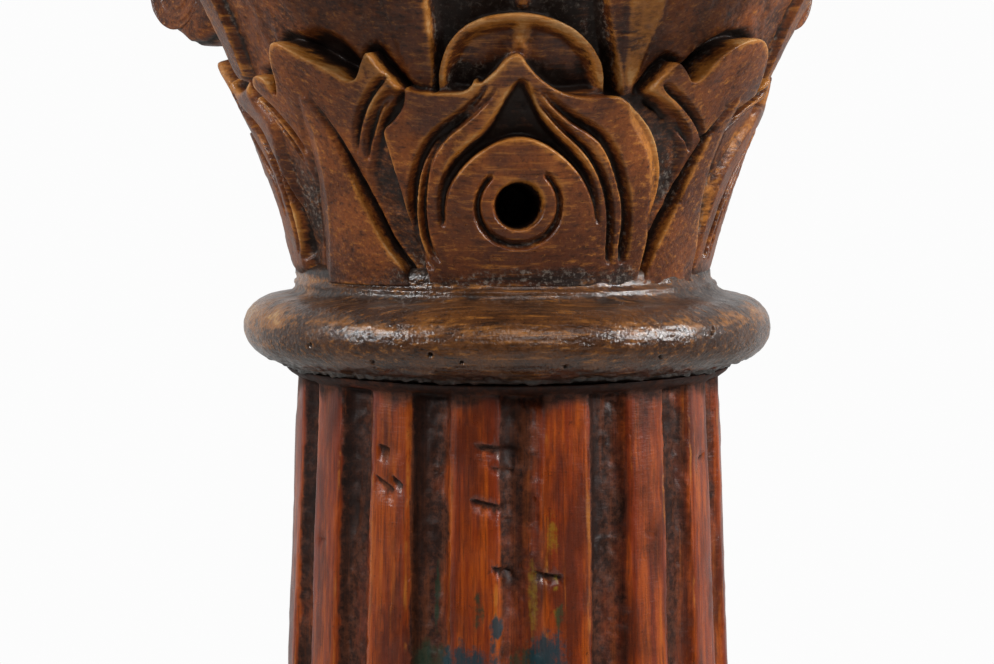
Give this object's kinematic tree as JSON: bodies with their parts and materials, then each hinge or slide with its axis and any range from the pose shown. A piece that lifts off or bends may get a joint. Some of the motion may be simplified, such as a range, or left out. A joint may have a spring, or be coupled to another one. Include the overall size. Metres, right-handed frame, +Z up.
{
  "type": "carved wooden column",
  "caption": "Free-standing carved wooden column: square plinth, turned base, tapering fluted shaft, and a leaf capital with corner scrolls under a hollow-sided abacus.",
  "frame": {"origin": "centre of the plinth's underside, where the column stands on the floor", "axes": "+Z up along the column's axis; one of the four large leaves faces -Y; the plinth's sides lie along X and Y"},
  "size_m": [0.3168, 0.3168, 1.1252],
  "materials": {
    "dark_wood": "turned and sawn wood, dark brown stain under old wax, rubbed on the edges",
    "red_wood": "orange-red stained wood under a worn varnish, near-black in the flutes",
    "brown_wood": "carved wood, brown patina with golden rubbed edges and dark recesses, waxed"
  },
  "bodies": {
    "root": {"plinth": "dark_wood", "base": "dark_wood", "shaft": "red_wood", "capital": "brown_wood", "abacus": "brown_wood"}
  },
  "joints": []
}
